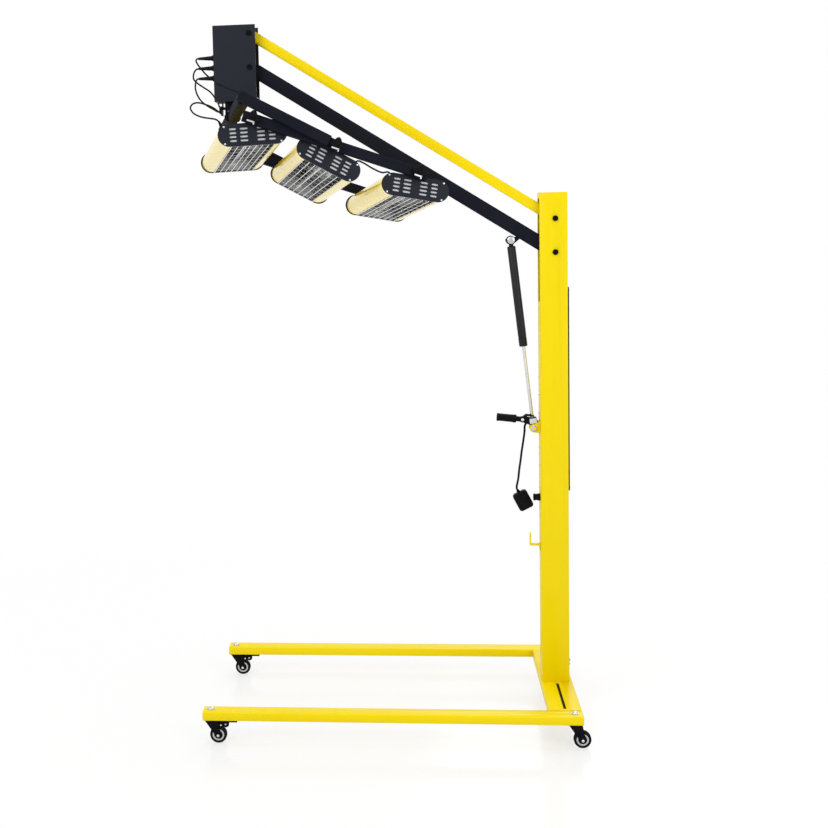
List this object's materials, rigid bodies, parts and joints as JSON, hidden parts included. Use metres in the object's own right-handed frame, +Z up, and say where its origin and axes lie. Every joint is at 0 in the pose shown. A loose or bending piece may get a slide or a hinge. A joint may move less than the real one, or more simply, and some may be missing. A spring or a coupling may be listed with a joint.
{
  "type": "infrared paint curing lamp",
  "caption": "Wheeled infrared curing lamp: U-shaped castor base, column, strut-held parallel arm, control box and a swivelling head of tilting lamp cassettes.",
  "frame": {"origin": "centre of the bounding box without the cords, on the floor", "axes": "+Z up, -X the way the legs point and +X the column end, +Y from the near leg to the far leg"},
  "size_m": [1.1591, 0.7176, 2.113],
  "materials": {
    "yellow": "gloss powder coat, yellow",
    "black": "satin powder coat, near black",
    "black_plastic": "matte moulded plastic, black",
    "rubber": "soft, black",
    "tread": "castor tread, black",
    "zinc": "bright steel",
    "strut": "satin paint, dark grey",
    "mirror": "polished aluminium",
    "quartz": "quartz tube with white ceramic ends",
    "board": "moulded timer body"
  },
  "bodies": {
    "base": {"leg_near": "yellow", "leg_far": "yellow", "cross_channel": "yellow", "column": "yellow", "rear_cover": "black", "strut_bracket": "yellow", "cord_peg": "black_plastic", "cord_hook": "yellow", "mains_gland": "black_plastic", "mains_cord": "rubber", "mains_coil": "rubber", "mains_plug": "black_plastic"},
    "lower_arm": {"lower_arm": "black"},
    "upper_link": {"upper_link": "yellow"},
    "strut_cylinder": {"strut_cylinder": "strut"},
    "strut_rod": {"strut_rod": "zinc", "release_clamp": "black"},
    "release_handle": {"release_handle": "black_plastic"},
    "control_box": {"box_shell": "black", "box_foot": "black", "box_cover": "black", "timer_unit": "board", "lamp_cables": "rubber"},
    "timer_knob": {"timer_knob": "black_plastic"},
    "head_knuckle": {"swivel_knuckle": "black"},
    "head_yoke": {"yoke": "black", "lamp_beam_near": "black", "lamp_beam_far": "black", "lamp_leads": "rubber"},
    "fork_front_near": {"castor_fork_front_near": "black"},
    "wheel_front_near": {"castor_wheel_front_near": "tread"},
    "pedal_front_near": {"brake_pedal_front_near": "black_plastic"},
    "fork_front_far": {"castor_fork_front_far": "black"},
    "wheel_front_far": {"castor_wheel_front_far": "tread"},
    "pedal_front_far": {"brake_pedal_front_far": "black_plastic"},
    "fork_rear_near": {"castor_fork_rear_near": "black"},
    "wheel_rear_near": {"castor_wheel_rear_near": "tread"},
    "fork_rear_far": {"castor_fork_rear_far": "black"},
    "wheel_rear_far": {"castor_wheel_rear_far": "tread"},
    "lamp_1": {"lamp_1_near_plate": "black", "lamp_1_far_plate": "black", "lamp_1_housing": "yellow", "lamp_1_reflector": "mirror", "lamp_1_tube": "quartz", "lamp_1_grille": "zinc"},
    "clamp_knob_1": {"clamp_knob_1": "black_plastic"},
    "lamp_2": {"lamp_2_near_plate": "black", "lamp_2_far_plate": "black", "lamp_2_housing": "yellow", "lamp_2_reflector": "mirror", "lamp_2_tube": "quartz", "lamp_2_grille": "zinc"},
    "clamp_knob_2": {"clamp_knob_2": "black_plastic"},
    "lamp_3": {"lamp_3_near_plate": "black", "lamp_3_far_plate": "black", "lamp_3_housing": "yellow", "lamp_3_reflector": "mirror", "lamp_3_tube": "quartz", "lamp_3_grille": "zinc"},
    "clamp_knob_3": {"clamp_knob_3": "black_plastic"}
  },
  "joints": [
    {"name": "castor_swivel_front_near", "type": "hinge", "parent": "base", "child": "fork_front_near", "pos_m": [-0.5216, -0.33084, 0], "axis": [0, 0, 1], "continuous": true},
    {"name": "castor_roll_front_near", "type": "hinge", "parent": "fork_front_near", "child": "wheel_front_near", "pos_m": [-0.5006, -0.33084, 0.025], "axis": [0, 1, 0], "continuous": true},
    {"name": "brake_press_front_near", "type": "hinge", "parent": "fork_front_near", "child": "pedal_front_near", "pos_m": [-0.5036, -0.33084, 0.062], "axis": [0, 1, 0], "range_deg": [0, 6]},
    {"name": "castor_swivel_front_far", "type": "hinge", "parent": "base", "child": "fork_front_far", "pos_m": [-0.5216, 0.27916, 0], "axis": [0, 0, 1], "continuous": true},
    {"name": "castor_roll_front_far", "type": "hinge", "parent": "fork_front_far", "child": "wheel_front_far", "pos_m": [-0.5006, 0.27916, 0.025], "axis": [0, 1, 0], "continuous": true},
    {"name": "brake_press_front_far", "type": "hinge", "parent": "fork_front_far", "child": "pedal_front_far", "pos_m": [-0.5036, 0.27916, 0.062], "axis": [0, 1, 0], "range_deg": [0, 6]},
    {"name": "castor_swivel_rear_near", "type": "hinge", "parent": "base", "child": "fork_rear_near", "pos_m": [0.5334, -0.33084, 0], "axis": [0, 0, 1], "continuous": true},
    {"name": "castor_roll_rear_near", "type": "hinge", "parent": "fork_rear_near", "child": "wheel_rear_near", "pos_m": [0.5544, -0.33084, 0.025], "axis": [0, 1, 0], "continuous": true},
    {"name": "castor_swivel_rear_far", "type": "hinge", "parent": "base", "child": "fork_rear_far", "pos_m": [0.5334, 0.27916, 0], "axis": [0, 0, 1], "continuous": true},
    {"name": "castor_roll_rear_far", "type": "hinge", "parent": "fork_rear_far", "child": "wheel_rear_far", "pos_m": [0.5544, 0.27916, 0.025], "axis": [0, 1, 0], "continuous": true},
    {"name": "arm_lift", "type": "hinge", "parent": "base", "child": "lower_arm", "pos_m": [0.5124, -0.02584, 1.414], "axis": [0, 1, 0], "range_deg": [-45, 0]},
    {"name": "upper_link_swing", "type": "hinge", "parent": "base", "child": "upper_link", "pos_m": [0.5124, -0.02584, 1.514], "axis": [0, 1, 0], "range_deg": [-45.5, 0.5]},
    {"name": "box_level", "type": "hinge", "parent": "lower_arm", "child": "control_box", "pos_m": [-0.38481, -0.02584, 1.98779], "axis": [0, 1, 0], "range_deg": [-0.5, 45.5]},
    {"name": "strut_swing", "type": "hinge", "parent": "lower_arm", "child": "strut_cylinder", "pos_m": [0.38352, -0.02584, 1.45191], "axis": [0, 1, 0], "range_deg": [-0.5, 45]},
    {"name": "strut_slide", "type": "slide", "parent": "strut_cylinder", "child": "strut_rod", "axis": [0.1114, 0, -0.9938], "range_m": [-0.104, 0.001]},
    {"name": "release_pull", "type": "hinge", "parent": "strut_rod", "child": "release_handle", "pos_m": [0.4144, -0.02584, 0.908], "axis": [0, 1, 0], "range_deg": [-12, 0], "stiffness_Nm_per_rad": 3, "springref_deg": 5.73},
    {"name": "timer_turn", "type": "hinge", "parent": "control_box", "child": "timer_knob", "pos_m": [-0.4516, -0.02584, 2.04], "axis": [0, 1, 0], "range_deg": [-300, 0]},
    {"name": "head_swivel", "type": "hinge", "parent": "control_box", "child": "head_knuckle", "pos_m": [-0.4456, -0.02584, 1.843], "axis": [0, 0, 1], "range_deg": [-80, 2], "deforming": ["lamp_cables"]},
    {"name": "head_rock", "type": "hinge", "parent": "head_knuckle", "child": "head_yoke", "pos_m": [-0.4456, -0.02584, 1.843], "axis": [0.9728, 0.2317, 0], "range_deg": [-3, 12], "deforming": ["lamp_leads"]},
    {"name": "lamp_tilt_1", "type": "hinge", "parent": "head_yoke", "child": "lamp_1", "pos_m": [-0.42203, -0.02607, 1.78976], "axis": [-0.2304, 0.9673, -0.1063], "range_deg": [-45, 45]},
    {"name": "knob_turn_1", "type": "hinge", "parent": "head_yoke", "child": "clamp_knob_1", "pos_m": [-0.35437, -0.31006, 1.82096], "axis": [-0.2304, 0.9673, -0.1063], "range_deg": [-360, 0]},
    {"name": "lamp_tilt_2", "type": "hinge", "parent": "head_yoke", "child": "lamp_2", "pos_m": [-0.18836, 0.02059, 1.70777], "axis": [-0.2304, 0.9673, -0.1063], "range_deg": [-60, 45]},
    {"name": "knob_turn_2", "type": "hinge", "parent": "head_yoke", "child": "clamp_knob_2", "pos_m": [-0.11948, -0.26853, 1.73953], "axis": [-0.2304, 0.9673, -0.1063], "range_deg": [-360, 0]},
    {"name": "lamp_tilt_3", "type": "hinge", "parent": "head_yoke", "child": "lamp_3", "pos_m": [0.04532, 0.06725, 1.62578], "axis": [-0.2304, 0.9673, -0.1063], "range_deg": [-2, 45]},
    {"name": "knob_turn_3", "type": "hinge", "parent": "head_yoke", "child": "clamp_knob_3", "pos_m": [0.11298, -0.21674, 1.65698], "axis": [-0.2304, 0.9673, -0.1063], "range_deg": [-360, 0]}
  ],
  "couplings": [
    {"joint": "upper_link_swing", "follows": "arm_lift", "ratio": 1},
    {"joint": "box_level", "follows": "arm_lift", "ratio": -1},
    {"joint": "strut_swing", "follows": "arm_lift", "ratio": -0.986},
    {"joint": "strut_slide", "follows": "arm_lift", "m_per_rad": 0.131}
  ]
}
